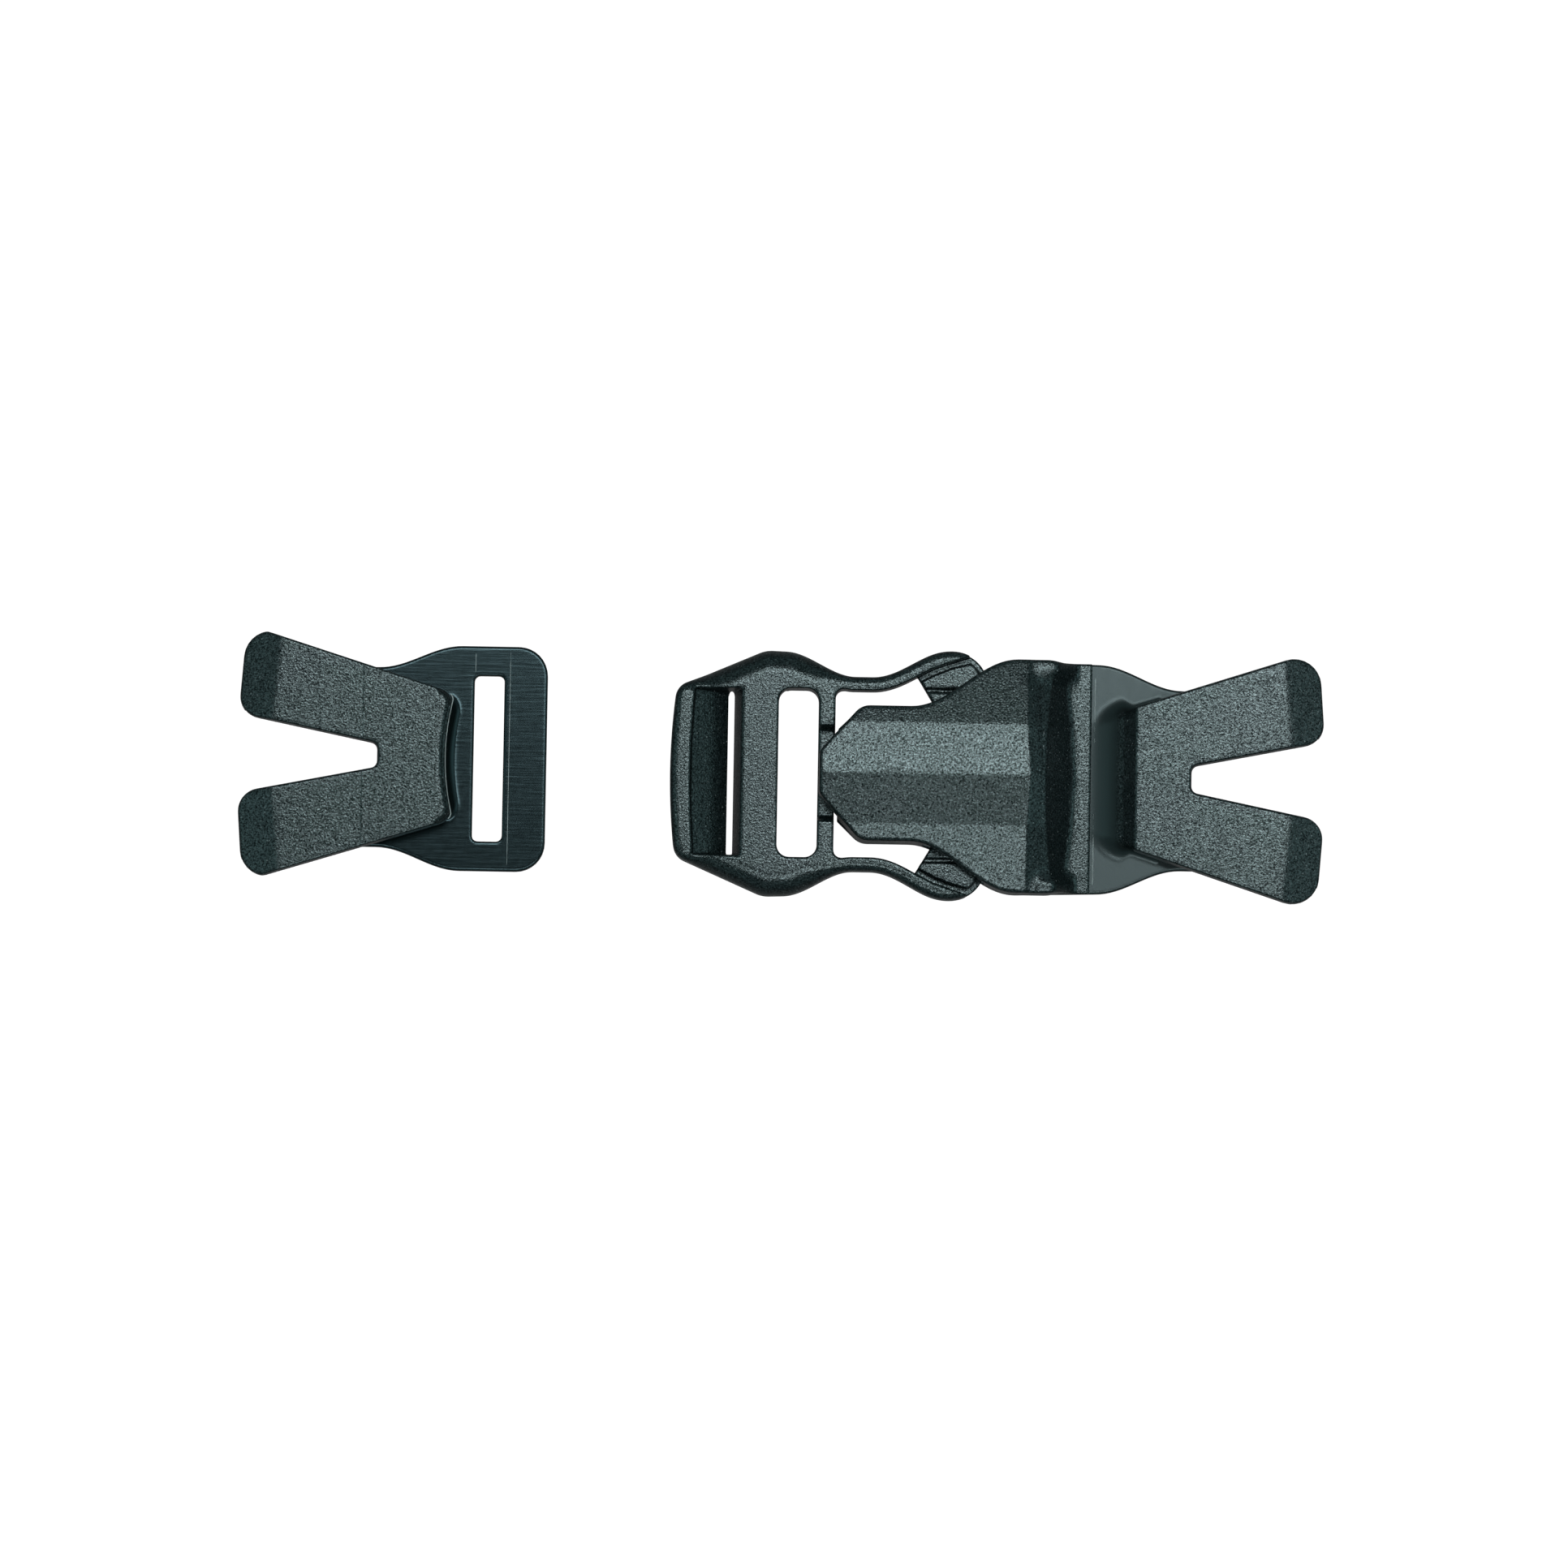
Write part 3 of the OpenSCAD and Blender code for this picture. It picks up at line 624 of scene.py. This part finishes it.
def build_receiver():
    """Cover, base plate, root, latch ribs and two tines."""
    axes = X, Y, Z = grid((NOSE_X - 0.3, -18.8, 1.6), (PART_X + 0.3, 18.8, RIDGE + 0.4))
    cut_piece("buckle_cover", cover_field(X, Y, Z), axes, BUCKLE_PLACE, [X - PART_X + 0.05])
    axes = X, Y, Z = grid((WINDOW_X, -20, -0.4), (SPAN + 0.3, 20, FORK_TOP + 0.4))
    whole = base_field(X, Y, Z)
    base = np.maximum(whole, X - SPAN - FORK_CUT)
    base = np.minimum(base, np.maximum(whole, Z - (FORK_UNDER - 1.2)))
    grain = grain_above(3.4, 0.4)
    root_planes = [SPLIT - Z, X - SPAN - FORK_CUT, 50 - X]
    cut_piece("buckle_base", base, axes, BUCKLE_PLACE, [Z - SPLIT - 0.05], grain=grain)
    cut_piece("buckle_root", base, axes, BUCKLE_PLACE, root_planes, grain=grain)
    cut_piece("buckle_latch_ribs", base, axes, BUCKLE_PLACE, [SPLIT - Z, X - PART_X], grain=grain)
    axes = grid((-22, -20, LIP_LOW - 0.4), (0.3, 20, FORK_TOP + 0.4))
    fork = fork_field(*axes, -ROOT_END - 0.3, 0.6, NOTCH)
    cut_pair("buckle_tine", fork, axes, FORK_PLACE, FORK_CUT)


def build_plug():
    """Frame and two latch arms; the tongue is the CAD's own."""
    axes = X, Y, Z = grid((-17.4, -20, -0.2), (ARM_END + 0.4, 20, FRAME_TOP + 0.4))
    whole = plug_field(X, Y, Z)
    cut_piece("plug_body", whole, axes, BUCKLE_PLACE, [X - ARM_CUT])
    cut_pair("plug_arm", whole, axes, BUCKLE_PLACE, ARM_CUT)


build_loop_clip()
build_receiver()
build_plug()

# ------------------------------------------------------ flash and witness lines, with painted highlights


def seam_line(name, x, y_from, y_to, z, half_wide, high, wobble=0.0, bow=None):
    """A fine raised line of flash running across a plate, bowed by the function bow(y)."""
    steps = max(2, int(abs(y_to - y_from) / 0.4))
    verts, faces = [], []
    for i in range(steps + 1):
        t = i / steps
        y = mix(y_from, y_to, t)
        dx = wobble * (math.sin(y * 2.3) + 0.6 * math.sin(y * 5.1 + 1.0)) + (bow(y) if bow else 0)
        h = high * (0.75 + 0.25 * math.sin(y * 3.7)) * min(1, 8 * t + 0.05, 8 * (1 - t) + 0.05)
        foot = z - 0.05
        verts += [(x + dx - half_wide, y, foot), (x + dx, y, z + h), (x + dx + half_wide, y, foot)]
        if i:
            k = 3 * i
            faces += [(k - 3 + j, k - 3 + (j + 1) % 3, k + (j + 1) % 3, k + j) for j in range(3)]
    faces += [(2, 1, 0), (len(verts) - 3, len(verts) - 2, len(verts) - 1)]
    mesh = bpy.data.meshes.new(name)
    mesh.from_pydata([(a / 1000, b / 1000, c / 1000) for a, b, c in verts], [], faces)
    lines[name] = new_object(name, mesh, np.zeros(len(verts)))


def root_bow(y):
    """Line of the loop root's end, bowed with rounded corners, from its middle."""
    a = abs(y - LOOP_Y)
    return BOW_RADIUS - math.sqrt(BOW_RADIUS**2 - a * a) - 0.9 * max(0, (a - 8.6) / 1.3) ** 2


# each line's x, its ends in y, the height it stands on, its half width, height and wobble
lines = {}
root_edge_x, root_edge_z = -SPAN + 32.27, FORK_TOP - 0.82
seam_line("loop_root_edge", root_edge_x, LOOP_Y - 9.7, LOOP_Y + 9.7, root_edge_z, 0.08, 0.1, 0, root_bow)
seam_line("buckle_flash_upper", 48.62, 3.6, 15.2, PLATE, 0.11, 0.16, 0.02)
seam_line("buckle_flash_lower", 48.62, -17.0, -4.2, PLATE, 0.11, 0.16, 0.02)
seam_line("loop_witness_long", -42.3, LOOP_Y - 16.6, LOOP_Y + 16.6, PLATE, 0.09, 0.05)
seam_line("loop_witness_short", -47.7, LOOP_Y + 13.4, LOOP_Y + 16.4, PLATE, 0.09, 0.05)

# ------------------------------------------------------------------- materials


def node_maker(tree):
    """Two functions for a node tree: one adds a node, one fills an input.

    A value named like a property sets it, and any other goes to the input of that name, with _ for
    a space. inputs holds values by position. A socket is linked, and anything else is set."""

    def fill(entry, value):
        if isinstance(value, bpy.types.NodeSocket):
            tree.links.new(value, entry)
        else:
            entry.default_value = value

    def add(kind, inputs=(), **values):
        node = tree.nodes.new(kind)
        for key, value in values.items():
            if hasattr(node, key):
                setattr(node, key, value)
            else:
                fill(node.inputs[key.replace("_", " ")], value)
        for entry, value in zip(node.inputs, inputs):
            fill(entry, value)
        return node

    return add, fill


def set_ramp(node, stops):
    """Gives a colour ramp its (position, colour) stops."""
    elements = node.color_ramp.elements
    while len(elements) < len(stops):
        elements.new(0.5)
    for element, (position, colour) in zip(elements, stops):
        element.position = position
        element.color = (*colour, 1)
    return node.outputs["Color"]


# Cells of the grain's patterns in a metre, and the depth of the texture in metres
GRAIN, PITS, SPARKS, SMUDGES, STREAKS = 3700.0, 3600.0, 3900.0, 900.0, 2600.0
TEXTURE_DEEP = 0.000034


def moulded(
    name, colour, fleck, rough, smooth=(0.3, 0.4), streak=0.06, level=0.5, cast=(0.74, 0.97, 1.0),
    always_grain=False,
):
    """Black moulded plastic: spark-eroded grain where the grain attribute is 1, polished where it is 0.

    The polished part has its range of roughness in smooth, its brushing in streak, and the strength
    and colour of its reflection in level and cast."""
    material = bpy.data.materials.new(name)
    material.use_nodes = True
    add, fill = node_maker(material.node_tree)
    spot = add("ShaderNodeTexCoord").outputs["Object"]
    grain = 1.0 if always_grain else add("ShaderNodeAttribute", attribute_name="grain").outputs["Fac"]
    fine = add("ShaderNodeTexNoise", [spot], Scale=GRAIN, Detail=3.0, Roughness=0.6).outputs[0]
    coarse = add("ShaderNodeTexNoise", [spot], Scale=SMUDGES, Detail=2.0, Roughness=0.5).outputs[0]
    pits = add("ShaderNodeTexVoronoi", [spot], Scale=PITS).outputs["Distance"]
    spark = add("ShaderNodeTexVoronoi", [spot], Scale=SPARKS).outputs
    drawn_out = add("ShaderNodeMapping", [spot], Scale=(0.06, 1.0, 1.0)).outputs[0]
    streaks = add("ShaderNodeTexNoise", [drawn_out], Scale=STREAKS, Detail=2.0).outputs[0]

    def times(a, b):
        return add("ShaderNodeMath", [a, b], operation="MULTIPLY").outputs[0]

    def mapped(value, **limits):
        return add("ShaderNodeMapRange", [value], **limits).outputs[0]

    def mixed(kind, share, a, b):
        return add("ShaderNodeMix", data_type=kind, Factor=share, A=a, B=b).outputs["Result"]

    # height of the texture
    grained = add("ShaderNodeMath", [fine, times(pits, 0.5)], operation="ADD").outputs[0]
    relief = mixed("FLOAT", grain, times(streaks, streak), grained)
    bump = add("ShaderNodeBump", Strength=1.0, Distance=TEXTURE_DEEP, Height=relief).outputs[0]
    # colour: dark plastic with paler flecks on the grain's peaks, and a few bright specks
    flecks = set_ramp(add("ShaderNodeValToRGB", [fine]), [(0.42, colour), (0.78, fleck)])
    chosen = add("ShaderNodeMath", [spark["Color"], 14.0], operation="POWER").outputs[0]
    speck = times(chosen, mapped(spark["Distance"], From_Min=0.6, From_Max=0.25))
    dotted = mixed("RGBA", speck, flecks, (0.2, 0.24, 0.24, 1))
    tones = [(0, [c * 0.7 for c in colour]), (1, [c * 1.5 for c in colour])]
    plain = set_ramp(add("ShaderNodeValToRGB", [coarse]), tones)
    # roughness
    grain_rough = mapped(fine, To_Min=rough + 0.05, To_Max=rough - 0.05)
    smooth_rough = mapped(coarse, To_Min=smooth[0], To_Max=smooth[1])
    # glint: each grain of the texture reflects more or less of the light
    cells = mapped(spark["Color"], To_Min=-0.16, To_Max=0.16)
    waves = mapped(fine, From_Min=0.36, From_Max=0.66)
    glint = add("ShaderNodeMath", [cells, waves], operation="ADD", use_clamp=True).outputs[0]
    grains = mixed("RGBA", glint, (0.1, 0.14, 0.14, 1), (1.44, 1.86, 1.9, 1))
    sheet = (*[2 * level * c for c in cast], 1)

    shader = material.node_tree.nodes["Principled BSDF"].inputs
    shader["Specular IOR Level"].default_value = 0.5
    fill(shader["Normal"], bump)
    fill(shader["Base Color"], mixed("RGBA", grain, plain, dotted))
    fill(shader["Roughness"], mixed("FLOAT", grain, smooth_rough, grain_rough))
    fill(shader["Specular Tint"], mixed("RGBA", grain, sheet, grains))
    return material


DARK, FLECK = (0.0015, 0.0032, 0.0034), (0.012, 0.019, 0.02)
nylon = moulded("moulded_nylon", DARK, FLECK, 0.23)
nylon_plain = moulded("moulded_nylon_grained", DARK, FLECK, 0.23, always_grain=True)
loop_polish = moulded(
    "polished_loop_plate", DARK, FLECK, 0.23, smooth=(0.17, 0.24), streak=0.35, level=0.33,
    cast=(0.58, 0.94, 1.04),
)
# the lines are raised ridges of the same dark plastic; their pale grey base colour is a painted
# highlight along each ridge
edge_shine = moulded("flash_line_painted_highlight", (0.32, 0.37, 0.37), FLECK, 0.3, smooth=(0.25, 0.35), level=1.0)

for name, piece in pieces.items():
    piece.data.materials.append(loop_polish if name == "loop_clip_base" else nylon)
for piece in lines.values():
    piece.data.materials.append(edge_shine)
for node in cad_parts.values():
    node.data.materials.clear()
    node.data.materials.append(nylon_plain)

# ---------------------------------------------------------------- frame table

for name, piece in lines.items():
    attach(piece, "receiver" if name.startswith("buckle") else "loop_clip")

RIDES = [
    ("loop_clip_base", "loop_clip", "loop_plate"),
    ("loop_clip_root", "loop_clip", "loop_fork"),
    ("buckle_cover", "receiver", "receiver_cover"),
    ("buckle_base", "receiver", "receiver_plate"),
    ("buckle_latch_ribs", "receiver", "receiver_plate"),
    ("buckle_root", "receiver", "receiver_fork"),
    ("plug_body", "plug", "plug_frame"),
]
for name, body, node in RIDES:
    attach(pieces[name], body)
    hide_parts(node)

# each hinged piece has its place baked into its mesh, and the CAD's own tine or arm is hidden
for sign, tag, short in ((1, "upper", "up"), (-1, "lower", "low")):
    piece = pieces[f"buckle_tine_{tag}"]
    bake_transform(piece)
    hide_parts(f"receiver_{tag}_tine")
    piece = pieces[f"loop_clip_tine_{tag}"]
    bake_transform(piece)
    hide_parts(f"loop_{tag}_tine")
    piece = pieces[f"plug_arm_{tag}"]
    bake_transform(piece)
    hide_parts(f"plug_{tag}_arm")

# ---------------------------------------------------------------------- studio

WHITE, PALE_CYAN = (1, 1, 1), (0.72, 1, 1)


def area_light(name, at, size, power, colour=WHITE):
    """A rectangular lamp that shines at the middle of the set."""
    data = bpy.data.lights.new(name, "AREA")
    data.shape = "RECTANGLE"
    data.size, data.size_y = size
    data.energy = power
    data.color = colour
    light = bpy.data.objects.new(name, data)
    light.location = at
    light.rotation_euler = (Vector((0, 0, 0)) - Vector(at)).to_track_quat("-Z", "Y").to_euler()
    bpy.context.scene.collection.objects.link(light)


area_light("main_strip", (0.07, 0.231, 1.0), (0.62, 0.17), 4.6)
area_light("front_strip", (0.07, -0.39, 1.0), (0.62, 0.15), 3.3)
area_light("right_soft", (0.85, 0, 0.85), (0.5, 0.6), 0.8, PALE_CYAN)
area_light("left_soft", (-0.6, 0, 0.95), (0.3, 0.6), 0.6, PALE_CYAN)

# white paper, which lights the parts less than it shows
floor_mesh = bpy.data.meshes.new("floor")
floor_mesh.from_pydata([(-3, -3, 0), (3, -3, 0), (3, 3, 0), (-3, 3, 0)], [], [(0, 1, 2, 3)])
floor = bpy.data.objects.new("floor", floor_mesh)
floor.location.z = -0.0002
bpy.context.scene.collection.objects.link(floor)
paper = bpy.data.materials.new("white_paper")
paper.use_nodes = True
add, fill = node_maker(paper.node_tree)
paper_shader = paper.node_tree.nodes["Principled BSDF"].inputs
fill(paper_shader["Base Color"], (0.1, 0.1, 0.1, 1))
fill(paper_shader["Roughness"], 0.9)
fill(paper_shader["Emission Color"], (*WHITE, 1))
seen = add("ShaderNodeLightPath").outputs["Is Camera Ray"]
glow = add("ShaderNodeMapRange", [seen], To_Min=0.08, To_Max=1.0).outputs[0]
fill(paper_shader["Emission Strength"], glow)
floor_mesh.materials.append(paper)

# surroundings: a pale band round the horizon, dark above and below, behind a white backdrop
world = bpy.data.worlds.new("studio")
bpy.context.scene.world = world
world.use_nodes = True
add, fill = node_maker(world.node_tree)
heights = add("ShaderNodeSeparateXYZ", [add("ShaderNodeTexCoord").outputs["Generated"]])
greys = [(0.0, 0.02), (0.12, 0.03), (0.28, 0.34), (0.7, 0.34), (0.86, 0.05), (1.0, 0.035)]
stops = [(at, (grey * 0.75, grey, grey)) for at, grey in greys]
glow_band = set_ramp(add("ShaderNodeValToRGB", [heights.outputs["Z"]]), stops)
seen = add("ShaderNodeLightPath").outputs["Is Camera Ray"]
sky = add("ShaderNodeMix", data_type="RGBA", Factor=seen, A=glow_band, B=(0.9, 0.9, 0.9, 1))
fill(world.node_tree.nodes["Background"].inputs["Color"], sky.outputs["Result"])

bpy.context.scene.view_settings.view_transform = "Standard"

# ---------------------------------------------------------------------- camera

# Distance, width seen there and point aimed at, in metres, and the sensor's width in millimetres
DISTANCE, WIDE, AIM, SENSOR = 1.3, 0.2433, (0.0005, -0.0022, 0.003), 36.0
TILT, ROLL = math.radians(4.0), math.radians(1.0)
camera_data = bpy.data.cameras.new("camera")
camera = bpy.data.objects.new("camera", camera_data)
bpy.context.scene.collection.objects.link(camera)
bpy.context.scene.camera = camera
camera.location = (AIM[0], AIM[1] - DISTANCE * math.sin(TILT), AIM[2] + DISTANCE * math.cos(TILT))
camera.rotation_euler = (Matrix.Rotation(TILT, 4, "X") @ Matrix.Rotation(ROLL, 4, "Z")).to_euler()
camera_data.sensor_width = SENSOR
camera_data.lens = SENSOR * DISTANCE / WIDE
camera_data.clip_start = 0.01
